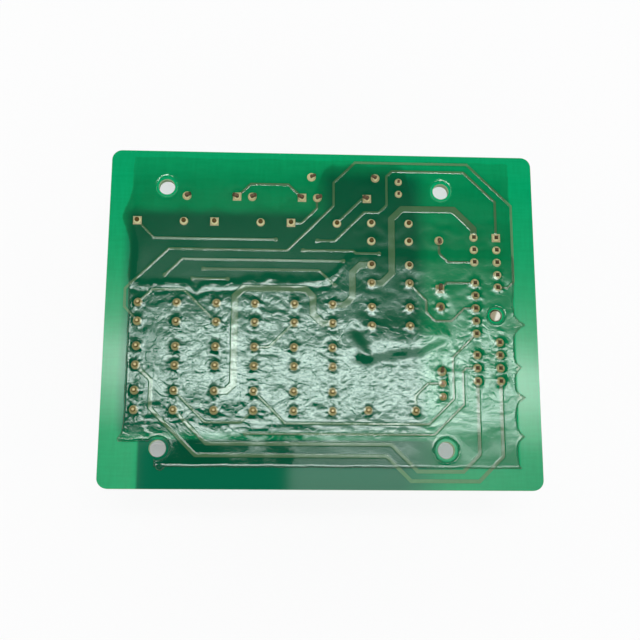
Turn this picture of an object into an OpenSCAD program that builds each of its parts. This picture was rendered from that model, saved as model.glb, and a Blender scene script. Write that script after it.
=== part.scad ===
// Relay board: four slim force-guided relays, their diodes, resistors and lamps,
// and a two-row plug connector on one printed circuit board with a clear varnish
// film on its solder side. Millimetres. The board lies with its solder side up,
// resting on the tops of the relay covers, and its centre is on the Z axis.

/* [Board] */
// Length of the board, along X
board_l = 84.1; // [83:0.1:120]
// Width of the board, along Y
board_w = 66.6; // [66:0.1:100]
// Thickness of the laminate
board_t = 1.6; // [0.8:0.1:3.2]
// Radius of the board's corners
corner_r = 2; // [0.5:0.1:6]
// Diameter of the four mounting holes
mount_hole_d = 3.2; // [2.7:0.1:4.4]
// Distance between the mounting holes along X
mount_dx = 54.6; // [53:0.1:55.5]
// Distance between the mounting holes along Y
mount_dy = 51.6; // [51:0.1:56]
// X of the middle of the mounting holes
mount_x = -3.7; // [-4.5:0.1:-3]
// Height of the copper above the laminate
copper_t = 0.07; // [0.035:0.005:0.14]
// Wall of the plating in a drilled hole
plating_t = 0.05; // [0.02:0.01:0.1]
// Width of a signal track
track_w = 0.45; // [0.25:0.05:0.6]
// Width of a load track
load_track_w = 1.3; // [0.8:0.1:1.5]

/* [Varnish film] */
// Thickness of the film over the laminate
film_t = 0.25; // [0.15:0.01:0.5]
// Bare ring that the film leaves round a mounting hole
film_ring = 0.55; // [0.2:0.05:1]

/* [Relays] */
// Width of a relay
relay_w = 13; // [12.4:0.1:14.8]
// Length of a relay
relay_l = 45.5; // [44.5:0.1:46.5]
// Height of a relay above the board
relay_h = 24; // [23:0.1:32]
// Distance from one relay to the next
relay_pitch = 15.1; // [15:0.1:15.4]
// X of the first relay's middle
relay_x = -32; // [-33:0.1:-31.5]
// Y of the coil pins of the first three relays
coil_row_y = 18.75; // [18.5:0.05:19]
// Y of the coil pins of the last relay, which is turned round
turned_row_y = -18.35; // [-18.6:0.05:-18.1]
// Distance between the two coil pins
coil_pin_gap = 9.1; // [8.6:0.1:9.6]
// Distance between the two columns of contact pins
contact_pin_gap = 7.45; // [7:0.05:8]
// Distance from the coil pins to the first contact pins
first_row = 16.5; // [16:0.1:17]
// Distance between the two pins of a contact pair
pair_gap = 3.7; // [3.4:0.1:4]
// Distance from one contact pair to the next
pair_pitch = 8.55; // [8.2:0.05:8.8]
// Wall of the cover
cover_wall = 0.8; // [0.5:0.1:1.2]
// Gap under the relay's base
base_standoff = 0.5; // [0.3:0.1:1]
// Thickness of the relay's base
base_t = 2.2; // [1.5:0.1:3]

/* [Relay mechanism] */
// Angle of the armature when the coil is off
armature_tilt = 3.2; // [2.5:0.1:3.6]
// Thickness of the armature
armature_t = 0.9; // [0.7:0.1:1.2]
// Thickness of the yoke's steel strip
yoke_t = 1.3; // [1:0.1:1.6]
// Radius of the coil's core
core_r = 2.1; // [1.6:0.1:2.4]
// Gap left between the armature and the pole when it is pulled in
pole_gap = 0.1; // [0.05:0.01:0.2]
// Thickness of the card that pushes the springs
card_t = 1.4; // [1:0.1:2]
// Thickness of a moving spring
spring_t = 0.15; // [0.1:0.01:0.2]
// Thickness of a fixed contact strip
strip_t = 0.4; // [0.3:0.05:0.6]
// Width of the springs and strips
spring_w = 2.4; // [1.8:0.1:2.8]
// Gap between open contacts
contact_open = 0.8; // [0.5:0.05:0.9]

/* [Connector] */
// X of the connector's left pins
conn_x = 30; // [29.8:0.1:30.4]
// Y of the middle of the connector's left pins
conn_y = 1.9; // [1.5:0.1:2.3]
// Distance between its two columns of pins
conn_columns = 4.5; // [4.3:0.1:4.8]
// Pin pitch along a column
conn_pitch = 2.54; // [2.5:0.01:2.54]
// Height of the connector's shroud above the board
conn_h = 14; // [13:0.1:18]
// Wall of the shroud
conn_wall = 1.1; // [0.8:0.1:1.4]
// Side of a square connector pin
conn_pin = 0.76; // [0.6:0.02:0.8]
// Diameter of the locating peg
peg_d = 2; // [1.6:0.1:2.2]

/* [Diodes, resistors and lamps] */
// Hole spacing of a diode
diode_pitch = 9.9; // [9.5:0.1:10.2]
// Diameter of a diode's body
diode_d = 2.7; // [2.2:0.1:2.8]
// Length of a diode's body
diode_l = 5.2; // [4.4:0.1:5.6]
// Hole spacing of a resistor
resistor_pitch = 12.8; // [12.4:0.1:13]
// Diameter of a resistor's body
resistor_d = 2.3; // [1.8:0.1:2.6]
// Length of a resistor's body
resistor_l = 6.3; // [5.4:0.1:6.6]
// Diameter of a lamp's lens
led_d = 3; // [2.6:0.1:3.2]
// Height of a lamp's lens above its flange
led_h = 4.3; // [3.6:0.1:5]

/* [Hidden] */

slack = 0.5;           // how far a cutter runs past the face it cuts
fit = 0.05;            // clearance of moulded parts that sit in one another
round_fn = 40;
small_fn = 24;

// ---- levels, from the floor up ----
board_z = relay_h;                 // component side of the laminate
solder_z = board_z + board_t;      // solder side of the laminate

// ---- relay: local frame, pin side down, coil pins at y = 0 ----
coil_end = 3.65;                   // cover beyond the coil pins
relay_mid = relay_l / 2 - coil_end;
inner_w = relay_w - 2 * cover_wall;
inner_l = relay_l - 2 * cover_wall;
cover_r = 1;
cover_z = 1.2;                     // lower rim of the cover
base_z = base_standoff;
base_top = base_z + base_t;
pin_w = 0.7;
pin_t = 0.5;
pin_out = 0.85;                    // pin length beyond the solder side
coil_pin_w = 0.6;
contact_rows = [for (k = [0:2]) first_row + k * pair_pitch];

yoke_w = coil_pin_gap - coil_pin_w - 1.1;
yoke_z = base_top + 1.3;
bobbin_r = (inner_w - 2 * 0.3) / 2;
axis_z = yoke_z + yoke_t + 0.15 + bobbin_r;
winding_r = bobbin_r - 0.5;
tube_r = core_r + 0.85;
flange_t = 0.9;
back_y = -coil_end + cover_wall + 0.35;
bobbin_y = back_y + yoke_t + 0.1;
pole_t = 1;
pole_r = core_r + 1.3;
pole_y = 11.05;
bobbin_end = pole_y - pole_t - fit;
pivot = [pole_y + pole_gap, yoke_z + yoke_t / 2];

card_z = relay_h - 3.8;
card_top = card_z + card_t;
wall_top = card_z - 0.15;
lever = card_z + card_t / 2 - pivot[1];
card_w = inner_w - 1.2;
card_spine = contact_pin_gap - spring_w - 0.4;
notch = spring_t + 0.5;
tongue_w = 4;
tongue_y = pivot[0] + armature_t / 2 * cos(armature_tilt) + lever * sin(armature_tilt);
tongue_slot = armature_t + card_t * tan(armature_tilt) + 0.5;
barrier_y = 14.2;
chamber_wall = 0.8;

contact_z = card_z - 3.2;
rivet_r = 0.9;
rivet_t = 0.5;
strip_rivet_t = 0.6;
spring_shift = 0.5;
strip_top = contact_z + 1.3;

// ---- connector ----
conn_mid = [conn_x + conn_columns / 2 + 0.1, conn_y];
conn_w = conn_columns + 5.3;
conn_l = 35.4;
conn_floor = 2.6;
conn_pin_in = 8;
conn_pin_out = 1;
group_gap = 4.24;                  // between the pin groups of the left column
right_gap = 11;                    // between the pin groups of the right column
peg_hole_d = 2.5;
peg_at = [conn_x + 3.95, conn_y - 1.4];

// ---- wire-ended parts: [x, y of the middle, turn] ----
lead_bend = 1;
diode_lead = 0.39;
resistor_lead = 0.3;
lamp_lead = 0.5;
lamp_pitch = 2.54;
diodes = [[-22.05, 24, 0], [-9.15, 24, 0], [3.8, 24, 0], [23.05, 10.6, -90]];
resistors = [[4.05, 28.35, 0], [23.07, -4.3, 90]];
lamps = [[15.1, 26.35, 90], [23.2, -14.3, 90]];

// ---- pads: drill radius and pad radius ----
relay_drill = 0.62;
relay_pad = 0.82;
wire_drill = 0.5;
wire_pad = 0.86;
lamp_drill = 0.42;
lamp_pad = 0.72;
conn_drill = 0.6;
square_pad = 1.66;                 // side of the square pads at pin one and cathodes

// ---- where the pins are, in the board's own X and Y ----
function relay_dir(i) = i < 3 ? 1 : -1;
function relay_at(i) = [relay_x + i * relay_pitch, i < 3 ? coil_row_y : turned_row_y];
function turn_point(p, a) = [p[0] * cos(a) - p[1] * sin(a), p[0] * sin(a) + p[1] * cos(a)];
function ends_of(part, pitch) = [for (s = [-1, 1])
    [part[0], part[1]] + turn_point([s * pitch / 2, 0], part[2])];

coil_holes = [for (i = [0:3]) for (s = [-1, 1]) relay_at(i) + [s * coil_pin_gap / 2, 0]];
contact_holes = [for (i = [0:3]) for (row = contact_rows) for (d = [0, pair_gap])
    for (s = [-1, 1]) relay_at(i) + [s * contact_pin_gap / 2, -relay_dir(i) * (row + d)]];
diode_holes = [for (d = diodes) for (p = ends_of(d, diode_pitch)) p];
resistor_holes = [for (r = resistors) for (p = ends_of(r, resistor_pitch)) p];
lamp_holes = [for (l = lamps) for (p = ends_of(l, lamp_pitch)) p];
conn_left = [for (k = [-2:2]) k * conn_pitch,
             for (s = [-1, 1]) for (k = [0:2]) s * (2 * conn_pitch + group_gap + k * conn_pitch)];
conn_top = 4 * conn_pitch + group_gap;
conn_right = [for (k = [0:4]) conn_top - k * conn_pitch,
              for (k = [5:8]) conn_top - right_gap - (k - 1) * conn_pitch];
conn_holes = concat([for (y = conn_left) [conn_x, conn_y + y]],
                    [for (y = conn_right) [conn_x + conn_columns, conn_y + y]]);

// Square pads mark the first pin of each part; the rest are round.
square_holes = concat([for (i = [0:2]) coil_holes[2 * i]],
                      [for (k = [0:3]) diode_holes[2 * k + 1]],
                      [conn_holes[len(conn_left)]]);
function is_square(p) = len([for (q = square_holes) if (norm(p - q) < 0.01) 1]) > 0;

// [holes, drill radius, pad radius]
hole_groups = [
    [coil_holes, relay_drill, relay_pad],
    [contact_holes, relay_drill, relay_pad],
    [diode_holes, wire_drill, wire_pad],
    [resistor_holes, wire_drill, wire_pad],
    [lamp_holes, lamp_drill, lamp_pad],
    [conn_holes, conn_drill, relay_pad]];

// ---- tracks: [width, points]; a third value of true ends in a via ----
signal_tracks = [
    [[-36.6, 18.75], [-33.2, 15.3], [-9.3, 15.3]],
    [[-35.75, -1.45], [-38.35, 1.4], [-38.35, 5], [-30.2, 13.15], [-7.05, 13.15], [2.1, 22.5],
     [2.1, 27.3], [6.4, 31.6], [29, 31.6], [37.7, 23], [37.7, 7.4], [36.5, 6.15], [34.5, 6.15]],
    [[-30.8, 7.85], [-27.6, 11.1], [4, 11.1]],
    [[-23.35, 9.15], [-0.8, 9.15], [2.3, 6.2]],
    [[-25.4, 7.15], [-18.6, 7.15]],
    [[-35.75, 2.25], [-33.1, 4.9], [-27, 4.9], [-20.65, -1.45]],
    [[-6.5, 18.75], [-4.3, 18.75], [-1.2, 21.9], [-1.2, 24]],
    [[8.75, 24], [7.8, 24], [2.55, 18.75]],
    [[-17.1, 24], [-14.4, 26.7], [-6.9, 26.7], [-4.2, 24]],
    [[-1.1, 15.2], [2.3, 15.2], [8.2, 21.2], [11.1, 21.2], [12.7, 22.8], [12.7, 28.8],
     [13.8, 29.9], [28.3, 29.9], [34.5, 23.8], [34.5, 16.3]],
    [[-3.9, 13.2], [6, 13.2], [6.5, 12.7], [11.1, 12.7]],
    [[17, 6.7], [20.3, 3.4], [20.3, 1], [22, -0.7], [25.2, -0.7], [27.8, 1.9], [30, 1.9]],
    [[23.05, 15.5], [23.05, 13], [24.8, 11.22], [30, 11.22]],
    [[23.05, 5.65], [24.5, 7], [30, 7]],
    [[23.2, -13.05], [20.3, -13.05], [17.85, -15.5], [17.85, -18.35]],
    [[30, -3.2], [25.3, -7.9], [25.3, -16], [20.4, -20.9], [-7.1, -20.9], [-13.15, -14.85]],
    [[30, -9.96], [27.8, -9.96], [27.2, -10.6], [27.2, -17.1], [21.4, -22.9], [-14.6, -22.9]],
    [[-28.25, -14.85], [-22.3, -20.8], [-15.55, -20.8], [-13.15, -18.5]],
    [[-13.15, -6.3], [-10.4, -6.3], [-5.6, -1.45]]];
heavy_tracks = [
    [[-28.25, -18.5], [-21.95, -24.8], [13.1, -24.8], [18.1, -29.8], [26.8, -29.8],
     [30, -26.6], [30, -12.5]],
    [[-35.75, -10], [-32.7, -12.9], [-32.7, -18.2], [-23.9, -27], [12.2, -27],
     [16.8, -31.6], [29.8, -31.6], [34.5, -26.9], [34.5, -12.5]]];
load_tracks = [
    [[-20.6, -14.85], [-18.4, -14.85], [-17.1, -13.5], [-17.1, 3.7], [-15.5, 5.3],
     [-3.4, 5.3], [-1.9, 3.8], [-1.9, 0.35], [-0.1, -1.45], [1.9, -1.45]],
    [[1.9, 2.25], [4.3, 2.25], [5.8, 3.8], [5.8, 8.8], [7.4, 10.4], [9.57, 10.4]],
    [[9.57, 6.7], [11.5, 6.7], [13.6, 8.8], [13.6, 19.9], [15.7, 22], [26.1, 22],
     [30, 18.1], [30, 16.3]]];
// On the component side, from the vias to the pins they serve
hidden_tracks = [
    [[-9.3, 15.3], [-9.3, 20.6], [-12.35, 18.75]],
    [[-30.8, 7.85], [-33.4, 5.2], [-33.4, 0.9], [-35.75, -1.45]],
    [[4, 11.1], [4, 4.3], [1.9, 2.25]],
    [[-23.35, 9.15], [-23.35, 4.9], [-20.65, 2.25]],
    [[-25.4, 7.15], [-27.9, 4.6], [-28.25, 2.25]],
    [[-18.6, 7.15], [-15.5, 4], [-13.15, 2.25]],
    [[2.3, 6.2], [-1.2, 2.9], [-1.2, 0], [-5.6, -6.3]],
    [[-1.1, 15.2], [-1.1, 17.4], [-6.5, 18.75]],
    [[-3.9, 13.2], [-7.7, 9.4], [-7.7, 4.8], [-5.6, 2.25]],
    [[11.1, 12.7], [11.1, 13.7], [9.57, 15.15]],
    [[-14.6, -22.9], [-16.8, -20.7], [-16.8, -17], [-20.65, -10]]];
vias = [[-9.3, 15.3], [-30.8, 7.85], [4, 11.1], [-23.35, 9.15], [2.3, 6.2], [-25.4, 7.15],
        [-18.6, 7.15], [-1.1, 15.2], [-3.9, 13.2], [11.1, 12.7], [-14.6, -22.9]];
heavy_track_w = 0.7;
via_r = 0.42;

// ---- varnish film: edge runs and where it sagged ----
film_left = -37.6;
film_right = 37.5;
film_top = 32.2;
film_bottom = -29.1;
// [y, reach, half height] of each sag on the right and left edges
right_sags = [[-29.6, 0.9, 0.9], [-23.1, 1.4, 1], [-15.6, 1.8, 1], [-9.7, 1.3, 1], [-1.3, 2.3, 1.2],
              [10, 0.7, 6]];
left_sags = [[19.5, 2.1, 3.6], [8, 0.4, 2.5], [-24.1, 1.3, 1.1]];
// The film stops short of this mounting hole, at this height above its middle
bare_hole = [mount_x - mount_dx / 2, -mount_dy / 2];
bare_above = 1.4;

// Closed outline of a bent strip: mitred at its bends, square at its ends.
function unit(v) = v / norm(v);
function side_of(p, k) = let (n = len(p), a = k > 0 ? unit(p[k] - p[k - 1]) : unit(p[1] - p[0]),
    b = k < n - 1 ? unit(p[k + 1] - p[k]) : a, m = unit(a + b)) [-m[1], m[0]] / (m * a);
function strip_outline(p, w) = concat([for (k = [0:len(p) - 1]) p[k] + side_of(p, k) * w / 2],
    [for (k = [len(p) - 1:-1:0]) p[k] - side_of(p, k) * w / 2]);
// Reach of an edge at height y: the sum of its sags, which come to rounded points
function sag(y, list, k = 0) = k == len(list) ? 0
    : list[k][1] * pow(1 + pow((y - list[k][0]) / list[k][2], 2), -1.5) + sag(y, list, k + 1);

// ---- places ----
module flipped(at, turn = 0) translate([at[0], at[1], board_z]) rotate([180, 0, turn]) children();
module at_relay(i) flipped(relay_at(i), relay_dir(i) > 0 ? 0 : 180) children();
module at_holes(list) for (p = list) translate([p[0], p[1], 0]) children();
module at_mounts() for (sx = [-1, 1], sy = [-1, 1])
    translate([mount_x + sx * mount_dx / 2, sy * mount_dy / 2, 0]) children();
module along_y(y, z) translate([0, y, z]) rotate([-90, 0, 0]) children();

// ---- plain forms ----
// Rectangle with true round corners
module round_plan(l, w, r) {
    square([l - 2 * r, w], center = true);
    square([l, w - 2 * r], center = true);
    for (sx = [-1, 1], sy = [-1, 1])
        translate([sx * (l / 2 - r), sy * (w / 2 - r)]) circle(r, $fn = round_fn);
}
// Side view of a moulded cap: square at its foot, rounded at its top
module cap_profile(w, h, r) {
    translate([-w / 2, 0]) square([w, h - r]);
    translate([-w / 2 + r, 0]) square([w - 2 * r, h]);
    for (s = [-1, 1]) translate([s * (w / 2 - r), h - r]) circle(r, $fn = round_fn);
}
module cap(w, l, h, r) intersection() {
    linear_extrude(h) round_plan(w, l, r);
    rotate([90, 0, 0]) linear_extrude(l + slack, center = true) cap_profile(w, h, r);
    rotate([90, 0, 90]) linear_extrude(w + slack, center = true) cap_profile(l, h, r);
}
// Bent strip of metal, seen from the side in Y and Z, centred on x
module bent_strip(x, points, t, w) translate([x - w / 2, 0, 0]) rotate([90, 0, 90])
    linear_extrude(w) polygon(strip_outline(points, t));
module block(x, y, z) translate([x[0], y[0], z[0]]) cube([x[1] - x[0], y[1] - y[0], z[1] - z[0]]);
module ring(r_in, r_out, h) difference() {
    cylinder(h, r = r_out, $fn = round_fn);
    translate([0, 0, -slack]) cylinder(h + 2 * slack, r = r_in, $fn = round_fn);
}

// ======== printed circuit board ========
module drilled(extra = 0) {
    for (g = hole_groups) at_holes(g[0]) cylinder(board_t + 2 * slack, r = g[1] + extra, $fn = small_fn);
}
module board() color([0.05, 0.42, 0.25]) translate([0, 0, board_z]) difference() {
    linear_extrude(board_t) round_plan(board_l, board_w, corner_r);
    translate([0, 0, -slack]) {
        drilled();
        at_mounts() cylinder(board_t + 2 * slack, d = mount_hole_d, $fn = round_fn);
        translate([peg_at[0], peg_at[1], 0])
            cylinder(board_t + 2 * slack, d = peg_hole_d, $fn = round_fn);
    }
}

// One pad in each face and the plated wall between them, from z = 0 up
module round_pad(drill, pad) rotate_extrude($fn = small_fn) polygon([
    [drill - plating_t, -copper_t], [pad, -copper_t], [pad, 0], [drill, 0], [drill, board_t],
    [pad, board_t], [pad, board_t + copper_t], [drill - plating_t, board_t + copper_t]]);
module square_pad(drill, pad) difference() {
    union() {
        translate([0, 0, -copper_t]) cylinder(copper_t, r = pad, $fn = small_fn);
        cylinder(board_t, r = drill, $fn = small_fn);
        translate([-square_pad / 2, -square_pad / 2, board_t]) cube([square_pad, square_pad, copper_t]);
    }
    translate([0, 0, -slack]) cylinder(board_t + 2 * slack, r = drill - plating_t, $fn = small_fn);
}
module pads() color([0.83, 0.74, 0.5]) translate([0, 0, board_z])
    for (g = hole_groups) for (p = g[0]) translate([p[0], p[1], 0])
        if (is_square(p)) square_pad(g[1], g[2]); else round_pad(g[1], g[2]);

module strip(points, w) polygon(strip_outline(points, w));
module pad_shapes(side) for (g = hole_groups) for (p = g[0]) translate(p)
    if (side && is_square(p)) square(square_pad, center = true); else circle(g[2], $fn = small_fn);
module via_shapes() for (v = vias) translate(v) circle(via_r, $fn = small_fn);
module track_plan() difference() {
    union() {
        for (t = signal_tracks) strip(t, track_w);
        for (t = heavy_tracks) strip(t, heavy_track_w);
        for (t = load_tracks) strip(t, load_track_w);
        via_shapes();
    }
    pad_shapes(true);
}
module tracks_component_side() linear_extrude(copper_t) difference() {
    union() {
        for (t = hidden_tracks) strip(t, track_w);
        via_shapes();
    }
    pad_shapes(false);
}
module tracks() color([0.35, 0.5, 0.28]) {
    translate([0, 0, solder_z]) linear_extrude(copper_t) track_plan();
    translate([0, 0, board_z - copper_t]) tracks_component_side();
}

// Solder: fills the plated hole round the pin and draws up into a hollow cone. On the relay
// pins it closes over the pin's end in a dome.
function fillet_line(r, top_r, h) = [for (k = [0:5]) let (a = 90 * k / 5)
    [r - (r - top_r) * sin(a), copper_t + h * (1 - cos(a))]];
function dome_line(r, z, h) = [for (k = [1:5]) let (a = 90 * k / 5) [r * cos(a), z + h * sin(a)]];
module fillet(drill, pad, top_r, h, dome) rotate_extrude($fn = small_fn) polygon(concat(
    [[0, -board_t], [drill - plating_t, -board_t], [drill - plating_t, copper_t]],
    fillet_line(pad - 0.03, top_r, h),
    dome > 0 ? dome_line(top_r, copper_t + h, dome) : [[0, copper_t + h]]));
module solder_group(holes, drill, pad, top_r, h, dome = 0) translate([0, 0, solder_z])
    for (p = holes) translate([p[0], p[1], 0]) difference() {
        fillet(drill, pad, top_r, h, dome);
        children();
    }
module square_core(w, t, out = 3) translate([-w / 2, -t / 2, -board_t - slack])
    cube([w, t, board_t + slack + out]);
module round_core(r) translate([0, 0, -board_t - slack]) cylinder(board_t + 4, r = r, $fn = small_fn);
relay_fillet_h = 0.75;
relay_dome = 0.34;
relay_dome_r = 0.46;
wire_fillet_h = 0.25;
conn_fillet_h = 0.45;
module solder_joints() color([0.78, 0.68, 0.42]) {
    solder_group(coil_holes, relay_drill, relay_pad, relay_dome_r, relay_fillet_h, relay_dome)
        square_core(coil_pin_w, pin_t, pin_out);
    solder_group(contact_holes, relay_drill, relay_pad, relay_dome_r, relay_fillet_h, relay_dome)
        square_core(pin_w, pin_t, pin_out);
    solder_group(diode_holes, wire_drill, wire_pad, diode_lead + 0.03, wire_fillet_h)
        round_core(diode_lead);
    solder_group(resistor_holes, wire_drill, wire_pad, resistor_lead + 0.05, wire_fillet_h)
        round_core(resistor_lead);
    solder_group(lamp_holes, lamp_drill, lamp_pad, 0.37, wire_fillet_h) square_core(lamp_lead, lamp_lead);
    solder_group(conn_holes, conn_drill, relay_pad, 0.55, conn_fillet_h) square_core(conn_pin, conn_pin);
}

// Clear film: brushed on, so its side edges sag outward in places
film_steps = 80;
hook_r = 0.95;                     // drop that hangs below the bare hole
function film_y(k) = film_bottom + (film_top - film_bottom) * k / film_steps;
module film_plan() difference() {
    union() {
        polygon(concat(
            [for (k = [0:film_steps]) [film_right + sag(film_y(k), right_sags), film_y(k)]],
            [for (k = [film_steps:-1:0]) [film_left - sag(film_y(k), left_sags), film_y(k)]]));
        translate([bare_hole[0] + 0.6, film_bottom]) circle(hook_r, $fn = round_fn);
    }
    translate([-board_l / 2, -board_w / 2])
        square([bare_hole[0] - 0.7 + board_l / 2, bare_hole[1] + board_w / 2 + bare_above]);
    for (sx = [-1, 1], sy = [-1, 1]) translate([mount_x + sx * mount_dx / 2, sy * mount_dy / 2])
        circle(d = mount_hole_d + 2 * film_ring, $fn = round_fn);
    translate(peg_at) circle(d = peg_hole_d + 0.6, $fn = round_fn);
    pad_shapes(true);
}
module varnish_film() color([0.6, 0.8, 0.65, 0.4]) translate([0, 0, solder_z]) {
    linear_extrude(copper_t) difference() {
        film_plan();
        track_plan();
    }
    translate([0, 0, copper_t]) linear_extrude(film_t - copper_t) film_plan();
}

// ======== relay, in its local frame ========
module relay_cover(i) color([0.85, 0.87, 0.85, 0.35]) at_relay(i) translate([0, relay_mid, cover_z])
    difference() {
        cap(relay_w, relay_l, relay_h - cover_z, cover_r);
        translate([0, 0, -slack])
            cap(inner_w, inner_l, relay_h - cover_z - cover_wall + slack, cover_r - cover_wall / 2);
    }

module pin_slots() {
    for (row = contact_rows) for (d = [0, pair_gap]) for (s = [-1, 1])
        translate([s * contact_pin_gap / 2 - pin_w / 2 - fit, row + d - pin_t / 2 - fit, 0])
            cube([pin_w + 2 * fit, pin_t + 2 * fit, relay_h]);
    for (s = [-1, 1])
        translate([s * coil_pin_gap / 2 - coil_pin_w / 2 - fit, -pin_t / 2 - fit, 0])
            cube([coil_pin_w + 2 * fit, pin_t + 2 * fit, relay_h]);
}
chamber_w = inner_w - 2 * fit;
foot_r = 0.8;
module chamber_wall(y) block([-chamber_w / 2, chamber_w / 2], [y, y + chamber_wall], [base_top, wall_top]);
module relay_base(i) color([0.15, 0.16, 0.18]) at_relay(i) {
    difference() {
        translate([0, relay_mid, base_z])
            linear_extrude(base_t) round_plan(chamber_w, inner_l - 2 * fit, cover_r - cover_wall / 2);
        pin_slots();
    }
    for (sx = [-1, 1], y = [cover_wall + foot_r + 0.1, relay_l - cover_wall - foot_r - 0.6])
        translate([sx * (inner_w / 2 - 1.3), y - coil_end, 0]) cylinder(base_z, r = foot_r, $fn = small_fn);
    chamber_wall(barrier_y);
    for (k = [0:1]) chamber_wall(contact_rows[k] + (pair_gap + pair_pitch - chamber_wall) / 2);
    block([-chamber_wall / 2, chamber_wall / 2], [barrier_y, relay_l - coil_end - cover_wall - 1],
          [base_top, wall_top]);
    for (y = [1, pole_y - 3]) block([-yoke_w / 2 + 0.5, yoke_w / 2 - 0.5], [y, y + 1], [base_top, yoke_z]);
}

module relay_bobbin(i) color([0.9, 0.87, 0.78]) at_relay(i) {
    along_y(bobbin_y, axis_z) rotate_extrude($fn = round_fn) polygon([
        [core_r + fit, 0], [bobbin_r, 0], [bobbin_r, flange_t], [tube_r, flange_t],
        [tube_r, bobbin_end - bobbin_y - flange_t], [bobbin_r, bobbin_end - bobbin_y - flange_t],
        [bobbin_r, bobbin_end - bobbin_y], [core_r + fit, bobbin_end - bobbin_y]]);
    // feet that hold the two coil pins
    for (s = [-1, 1]) difference() {
        union() {
            block([s * coil_pin_gap / 2 - 0.72, s * coil_pin_gap / 2 + 0.72], [bobbin_y, 0.7],
                  [base_top, axis_z - bobbin_r + 1.6]);
            block([s * coil_pin_gap / 2 - 0.72, s * coil_pin_gap / 2 + 0.72],
                  [bobbin_y, bobbin_y + flange_t], [base_top, axis_z - bobbin_r * 0.4]);
        }
        pin_slots();
    }
}
module relay_winding(i) color([0.72, 0.36, 0.14]) at_relay(i)
    along_y(bobbin_y + flange_t, axis_z) ring(tube_r, winding_r, bobbin_end - bobbin_y - 2 * flange_t);

module relay_yoke(i) color([0.68, 0.69, 0.7]) at_relay(i) {
    block([-yoke_w / 2, yoke_w / 2], [back_y, pole_y], [yoke_z, yoke_z + yoke_t]);
    block([-yoke_w / 2, yoke_w / 2], [back_y, back_y + yoke_t], [yoke_z, axis_z + core_r + 1.6]);
    along_y(back_y, axis_z) cylinder(pole_y - back_y, r = core_r, $fn = round_fn);
    along_y(pole_y - pole_t, axis_z) cylinder(pole_t, r = pole_r, $fn = round_fn);
}

// Plate that tips on the end of the yoke; its tongue reaches into the card
module relay_armature(i) color([0.6, 0.61, 0.63]) at_relay(i)
    translate([0, pivot[0], pivot[1]]) rotate([-armature_tilt, 0, 0])
        translate([0, -pivot[0], -pivot[1]]) {
            block([-yoke_w / 2, yoke_w / 2], [pivot[0], pivot[0] + armature_t],
                  [yoke_z - 0.1, card_z - 0.8]);
            block([-tongue_w / 2, tongue_w / 2], [pivot[0], pivot[0] + armature_t],
                  [card_z - 0.8, card_top + 0.5]);
        }

// The spring of a pair stands in the far row if it closes, in the near row if it opens
function opens(k) = k == 0;
function spring_y(k) = opens(k) ? contact_rows[k] + spring_shift
                                : contact_rows[k] + pair_gap - spring_shift;
function toward(k) = opens(k) ? 1 : -1;      // from the spring to its fixed contact, along y
function gap_of(k) = opens(k) ? 0.02 : contact_open;
function strip_y(k) = spring_y(k)
    + toward(k) * (spring_t / 2 + rivet_t + gap_of(k) + strip_rivet_t + strip_t / 2);

module relay_card(i) color([0.82, 0.25, 0.16]) at_relay(i) difference() {
    block([-card_w / 2, card_w / 2], [tongue_y - tongue_slot / 2 - 1.2, spring_y(2) + 1.6],
          [card_z, card_top]);
    block([-tongue_w / 2 - 0.2, tongue_w / 2 + 0.2],
          [tongue_y - tongue_slot / 2, tongue_y + tongue_slot / 2],
          [card_z - slack, card_top + slack]);
    for (k = [0:2], s = [-1, 1])
        block(s > 0 ? [card_spine / 2, card_w] : [-card_w, -card_spine / 2],
              [spring_y(k) - notch / 2, spring_y(k) + notch / 2], [card_z - slack, card_top + slack]);
    for (k = [0:1]) translate([0, (spring_y(k) + spring_y(k + 1)) / 2, card_z - slack])
        linear_extrude(card_t + 2 * slack) round_plan(2.2, 4, 1);
}

module contact_pin(x, y, w) block([x - w / 2, x + w / 2], [y - pin_t / 2, y + pin_t / 2],
                                  [-board_t - pin_out, base_top + 0.5]);
module rivet(x, y, dir, t) translate([x, y, contact_z]) rotate([-90 * dir, 0, 0])
    cylinder(t, r = rivet_r, $fn = small_fn);
// Moving springs: fixed in the base, their tips in the card's notches
module relay_springs(i) color([0.8, 0.62, 0.3]) at_relay(i) for (k = [0:2], s = [-1, 1]) {
    x = s * contact_pin_gap / 2;
    row = opens(k) ? contact_rows[k] : contact_rows[k] + pair_gap;
    contact_pin(x, row, pin_w);
    bent_strip(x, [[row, base_top + 0.2], [row, base_top + 1.6], [spring_y(k), base_top + 2.8],
                   [spring_y(k), card_top + 0.6]], spring_t, spring_w);
    rivet(x, spring_y(k) + toward(k) * spring_t / 2, toward(k), rivet_t);
}
module relay_contacts(i) color([0.85, 0.7, 0.4]) at_relay(i) {
    for (k = [0:2], s = [-1, 1]) {
        x = s * contact_pin_gap / 2;
        row = opens(k) ? contact_rows[k] + pair_gap : contact_rows[k];
        contact_pin(x, row, pin_w);
        bent_strip(x, [[row, base_top + 0.2], [row, base_top + 2], [strip_y(k), base_top + 4],
                       [strip_y(k), strip_top]], strip_t, spring_w);
        rivet(x, strip_y(k) - toward(k) * strip_t / 2, -toward(k), strip_rivet_t);
    }
    for (s = [-1, 1]) block([s * coil_pin_gap / 2 - coil_pin_w / 2, s * coil_pin_gap / 2 + coil_pin_w / 2],
                            [-pin_t / 2, pin_t / 2], [-board_t - pin_out, base_top + 4.2]);
}

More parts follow.
